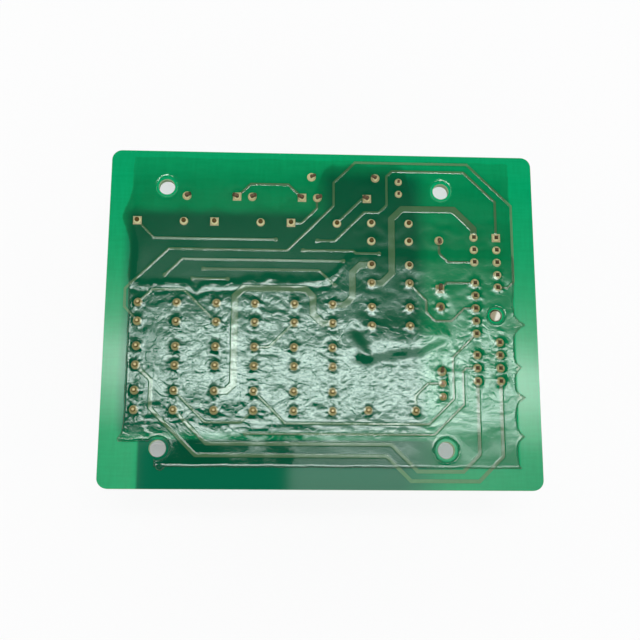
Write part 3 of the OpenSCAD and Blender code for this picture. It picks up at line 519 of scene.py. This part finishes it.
def waver(t, seed, size):
    """Smooth wandering line between -1 and 1."""
    return (np.sin(t / size + seed) + 0.6 * np.sin(2.3 * t / size + 2.1 * seed)
            + 0.4 * np.sin(4.1 * t / size + 0.7 * seed)) / 2


def hump(t, at, half):
    return np.exp(-((t - at) / half) ** 2)


def over(value, edge, soft):
    """0 well below an edge, 1 well above it."""
    return 1 / (1 + np.exp(-(value - edge) / soft))


def within_edge(px, py):
    """Distance inside the film's outer edge."""
    right = 37.4 + 0.08 * waver(py, 1.3, 0.9) + run_out(py, [
        (-29.6, 0.9, 0.9), (-23.1, 1.4, 1), (-15.6, 1.8, 1), (-9.7, 1.3, 1), (-1.3, 2.3, 1.2), (10, 0.6, 6)])
    left = -37.6 - 0.1 * waver(py, 4.2, 1) - run_out(py, [(19.5, 2.0, 3.6), (8, 0.4, 2.5), (-24.1, 1.2, 1.1)])
    bottom = -29.3 + 0.08 * waver(px, 2.2, 1.5)
    top = 32.0 + 0.15 * waver(px, 5.1, 3)
    bare = np.maximum(px + 31.7, py + 24.6 + 0.12 * waver(px, 1, 1.2))
    d = np.minimum.reduce([right - px, px - left, py - bottom, top - py, bare])
    return np.maximum(d, 0.9 - np.hypot(px + 30.4, py + 29.1))


def off_holes(px, py):
    """Distance from the openings round the holes."""
    return np.minimum.reduce([np.hypot(px - hx, py - hy) - ring for (hx, hy), ring in zip(
        mount_spots + [peg_spot], (2.05, 2.0, 2.15, 2.0, 1.55))])


def depth_in(px, py):
    return np.minimum(within_edge(px, py), off_holes(px, py))


def pad_spots():
    """Middle of each pad, read off the tops of the copper rings."""
    points = np.array([v.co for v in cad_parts["pads"].data.vertices]) / mm
    points = points[points[:, 2] > face_z + 0.05][:, :2]
    found = []
    for p in points:
        if not any(np.abs(p - q).max() < 1.1 for q in found):
            near = points[np.hypot(*(points - p).T) < 1.95]
            found.append(near.mean(axis=0))
    return found


def from_outline(px, py):
    """Distance from the tracks' outline seen from above, negative on a track."""
    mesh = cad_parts["tracks"].data
    top = max(v.co.z for v in mesh.vertices)
    points = [v.co / mm for v in mesh.vertices]
    lids = [tuple(f.vertices) for f in mesh.polygons if f.normal.z > 0.9 and f.center.z > top - 0.01 * mm]
    walls = [tuple(f.vertices) for f in mesh.polygons if abs(f.normal.z) < 0.1]
    lids, walls = (bvhtree.BVHTree.FromPolygons(points, faces) for faces in (lids, walls))
    away = np.full(px.size, 1.5)
    for k, (a, b) in enumerate(zip(px, py)):
        beside = walls.find_nearest(Vector((a, b, top / mm - 0.02)), 1.5)[3]
        if beside is not None:
            under = lids.find_nearest(Vector((a, b, top / mm)), 0.001)[3]
            away[k] = beside if under is None else -beside
    return away


pins = pad_spots()


def relief(px, py, d):
    """Height of the film over the laminate, how thick and dark it looks, and how creased."""
    fold, pleat, mask, slow, flow = (np.empty(px.size) for _ in range(5))
    for k, (a, b) in enumerate(zip(px, py)):
        sway = noise.noise_vector((a * 0.35, b * 0.35, 5))
        u, v = a + 1.3 * sway.x, b + 1.3 * sway.y
        fold[k] = noise.noise((u / 2.7, v / 2.0, 7))
        pleat[k] = noise.noise((u / 1.9, v / 1.25, 17))
        mask[k] = noise.noise((a / 2.1, b / 1.8, 31))
        slow[k] = noise.noise((a / 5.5, b / 4.5, 3))
        flow[k] = noise.noise((a / 2.6, b / 0.75, 23))
    crease = np.tanh(pleat / 0.24) * over(mask, -0.05, 0.06)
    # the roll at the top of the thick varnish, and the calm strip and corner at its bottom
    shore = 6.2 + 0.25 * waver(px, 3, 1.4) - 0.8 * hump(px, -24.6, 1.2) + 1.0 * over(px, -16.5, 0.5)
    shore = shore + 5.6 * over(px, 3.4, 1.0)
    thick = over(-py, -shore, 0.3)
    calm = over(-py, 23.2 + 0.3 * waver(px, 2, 2), 0.35) * over(px, -33, 0.5)
    corner = over(px, 21.5 - 0.5 * (py + 21), 0.8) * over(-py, 18.6 + 0.4 * waver(px, 4, 1), 0.5)
    bench = over(px, 6, 1) * over(py, shore + 0.4, 0.6) * over(-py, -19, 1.0)
    rough = 0.06 + 0.94 * thick * (1 - 0.92 * np.maximum(calm, 0.8 * corner)) + 0.45 * bench
    # the fold that sagged below the last relay's upper pins
    wall, sill = px - 6.5, py + 8.2 - 0.17 * (px - 10) - 0.3 * np.maximum(px - 19, 0)
    within = -1.2 * np.log(np.exp(-np.clip(wall, -30, 30) / 1.2) + np.exp(-np.clip(sill, -30, 30) / 1.2))
    low_part = over(-py, 1.5, 1.4) * over(-px, -24, 0.8)
    rough = rough * (1 - 0.8 * hump(within, -0.3, 1.1) * low_part)
    streaks = hump(py, -20.9, 1.9) + over(-px, 32.5, 0.5) * over(-py, 15.5, 1)
    quiet = over(px, 5, 1.5) * over(py, -1.5, 1.0)
    sharp = (rough - 0.45 * bench) * (1 - 0.8 * quiet)
    h = 0.13 + 0.11 * thick + rough * 0.026 * fold + sharp * 0.01 * crease
    h = h + (0.015 + 0.03 * thick) * slow + 0.022 * flow * rough * np.clip(streaks, 0, 1)
    h = h + thick * low_part * (0.25 * over(within, 0, 0.62) + 0.02 * hump(within, -2.4, 0.7))
    lean = hump(px, 6.8 - 0.3 * (py + 3.2), 1.15) * over(py, -8.3, 0.4) * over(-py, 2.2, 0.4)
    h = h - 0.075 * (py + 4.9) * lean
    rough = rough * (1 - 0.8 * lean)
    h = h + 0.03 * bench * fold
    roll = hump(py, shore, 0.45) * over(-px, -4, 1)
    h = h + (0.032 + 0.03 * waver(px, 0.6, 1.7) + 0.08 * fold + 0.02 * crease) * roll - 0.05 * hump(py, shore - 1.6, 0.55) * over(-px, -4, 1)
    body = 0.1 + 0.6 * over(-py, -28.5, 1.2)
    tide = 20.4 + 0.3 * waver(px, 1.7, 1.1) + 1.6 * over(px, -12, 1) + 9 * over(px, -1, 0.7)
    tide = tide - 11.6 * over(px, 17.3, 0.4)
    for (x0, y0) in pins:
        if 18 < y0 < 20 and x0 < -5:
            tide = tide + 1.5 * hump(px, x0, 1.6)
    body = body + (0.95 - body) * over(py * -1, -tide, 0.12)
    for number, (x0, y0) in enumerate(pins):
        dx, dy = px - x0, py - y0
        r = np.hypot(dx, dy)
        wet = float(over(-y0, -9, 1.0))
        pucker = np.cos((6 + number % 4) * np.arctan2(dy, dx) + 2.4 * number)
        h = h + (0.02 + 0.09 * wet) * np.exp(-(r / 0.8) ** 2)
        # painted shade: the varnish is tinted darker in a ring round each pin, most where it lies thick
        body = body + (0.05 + 1.2 * wet) * hump(r, 0.98, 0.2)
        h = h + wet * (0.009 * pucker * hump(r, 1.35, 0.5) - 0.008 * hump(r, 1.6, 0.5))
        if y0 > 15:
            h = h + 0.006 * (hump(r, 2.4, 0.2) + hump(r, 3.1, 0.2)) * over(dy, 0.4, 0.3)
    ring = np.hypot(px - mount_spots[2][0], py - mount_spots[2][1])
    h = h + (0.002 + 0.025 * thick) * hump(d, 0.28, 0.18) + 0.03 * hump(ring, 2.4, 0.18)
    taper = np.clip(within_edge(px, py) / (0.3 + 2.2 * (1 - thick)), 0, 1)
    rim = np.clip(off_holes(px, py) / 0.3, 0, 1)
    h = h * np.clip(taper * (2 - taper) * rim * (2 - rim), 0.02, 1)
    # painted shade: a thin darker band of tint just inside the film's edge where it lies thick
    body = body * np.clip(d / 0.3, 0, 1) + 2.5 * thick * hump(d, 0.16, 0.12)
    track = from_outline(px, py)
    creased = (rough - 0.42 * bench) * (1 - 0.7 * quiet) * np.clip(d / 0.8, 0, 1) * np.clip(0.3 + track, 0.1, 1)
    return {"h": h, "body": body, "creased": creased, "track": track}


def varnish_sheet():
    """The sheet: a grid trimmed to the film's outline, raised to its relief, and closed below."""
    left, right = -40.5, 40.5
    rows = np.r_[np.arange(-30.8, -29.3, 0.25), np.arange(-29.25, -28.3, 0.1), np.arange(-28.2, -24, 0.25),
                 np.arange(-24, 8.0, 0.2), np.arange(8.2, 32.6, 0.38)]
    columns = round((right - left) / 0.215)
    bpy.ops.object.select_all(action="DESELECT")
    bpy.ops.mesh.primitive_grid_add(x_subdivisions=columns, y_subdivisions=len(rows) - 1, size=1)
    sheet = bpy.context.active_object
    sheet.name = "varnish"
    mesh = sheet.data
    co = np.empty(len(mesh.vertices) * 3)
    mesh.vertices.foreach_get("co", co)
    co = co.reshape(-1, 3)
    co[:, 0] = left + (co[:, 0] + 0.5) * (right - left)
    co[:, 1] = rows[np.rint((co[:, 1] + 0.5) * (len(rows) - 1)).astype(int)]
    mesh.vertices.foreach_set("co", co.ravel())
    inside = depth_in(co[:, 0], co[:, 1])
    trimmed = bmesh.new()
    trimmed.from_mesh(mesh)
    trimmed.verts.ensure_lookup_table()
    bmesh.ops.delete(trimmed, geom=[f for f in trimmed.faces
                                    if sum(inside[v.index] for v in f.verts) < 0], context="FACES")
    for v in trimmed.verts:
        if v.is_boundary:
            for _ in range(4):
                p = v.co
                d = depth_in(p.x, p.y)
                slope = Vector((depth_in(p.x + 0.02, p.y) - d, depth_in(p.x, p.y + 0.02) - d)) / 0.02
                if slope.length > 0.2:
                    v.co.xy = p.xy - slope * (d / slope.length_squared)
    trimmed.to_mesh(mesh)
    trimmed.free()
    co = np.empty(len(mesh.vertices) * 3)
    mesh.vertices.foreach_get("co", co)
    co = co.reshape(-1, 3)
    depth = np.clip(depth_in(co[:, 0], co[:, 1]), 0, None)
    shape = relief(co[:, 0], co[:, 1], depth)
    co[:, 2] = face_z + shape.pop("h")
    mesh.vertices.foreach_set("co", (co * mm).ravel())
    shape["upper"] = np.ones(len(co))
    for name, values in shape.items():
        mesh.attributes.new(name, "FLOAT", "POINT").data.foreach_set("value", values.astype(np.float32))
    mesh.update()
    bpy.ops.object.mode_set(mode="EDIT")
    bpy.ops.mesh.select_mode(type="EDGE")
    bpy.ops.mesh.select_all(action="DESELECT")
    bpy.ops.mesh.select_non_manifold()
    bpy.ops.mesh.extrude_edges_move(TRANSFORM_OT_translate={"value": (0, 0, -0.0001)})
    bpy.ops.object.mode_set(mode="OBJECT")
    upper = mesh.attributes["upper"].data
    for v in mesh.vertices:
        if v.select:
            v.co.z = (face_z + 0.002) * mm
            upper[v.index].value = 0
    bpy.ops.object.mode_set(mode="EDIT")
    bpy.ops.mesh.fill(use_beauty=False)
    bpy.ops.mesh.select_all(action="SELECT")
    bpy.ops.mesh.normals_make_consistent(inside=False)
    bpy.ops.object.mode_set(mode="OBJECT")
    bpy.ops.object.shade_smooth_by_angle(angle=math.radians(60))
    return sheet


varnish = Finish("varnish")
spot = varnish.place()
body, upper, creased, track = (varnish.node("Attribute", {"attribute_name": name}, output=2)
                               for name in ("body", "upper", "creased", "track"))
upper = varnish.rise(upper, 0.3, 0.7)
long_crease = 1 - varnish.rise(abs(varnish.grain(spot, 0.5, 0, 0.5, 0.8) - 0.5), 0, 0.09)
short_crease = 1 - varnish.rise(abs(varnish.grain(spot, 0.85, 0, 0.5, 0.6) - 0.5), 0, 0.12)
here = varnish.rise(varnish.grain(spot, 0.55, 0), 0.46, 0.6)
creases = (long_crease * here + short_crease * (1 - here) * 0.5 + varnish.grain(spot, 1.7, 0) * 0.4) * creased * 0.85
skin = varnish.bump((1 - varnish.rise(track, -0.14, 0.14)) * 2.2 - creases, 0.012)
# painted shade: the varnish is tinted darker in a thin band along the edges of each track
beside = varnish.rise(track, -0.12, 0) * (1 - varnish.rise(track, 0.05, 0.25))
under, thin, deep = (varnish.node("BsdfTransparent", None, {"Color": (*c, 1)})
                     for c in ((1, 1, 1), (0.97, 0.95, 0.92), (0.82, 0.8, 0.76)))
tinted = varnish.node("MixShader", None, (body + 0.7 * beside, thin, deep))
clear_part = varnish.node("MixShader", None, (upper, under, tinted))
cloudy_part = varnish.node("BsdfDiffuse", None, {"Color": (0.004, 0.05, 0.022, 1)})
film = varnish.node("MixShader", None, (body * upper * 0.12, clear_part, cloudy_part))
shine = varnish.node("BsdfGlossy", None, {"Color": (0.81, 1, 0.93, 1), "Roughness": 0.05, "Normal": skin})
from_outside = 1 - varnish.node("NewGeometry", output=6)
gloss = varnish.node("Fresnel", None, {"IOR": 1.52, "Normal": skin}) * upper * from_outside
sheet = varnish_sheet()
sheet.data.materials.clear()
sheet.data.materials.append(varnish.done(varnish.node("MixShader", None, (gloss, film, shine))))
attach(sheet, "board")
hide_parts("varnish_film")
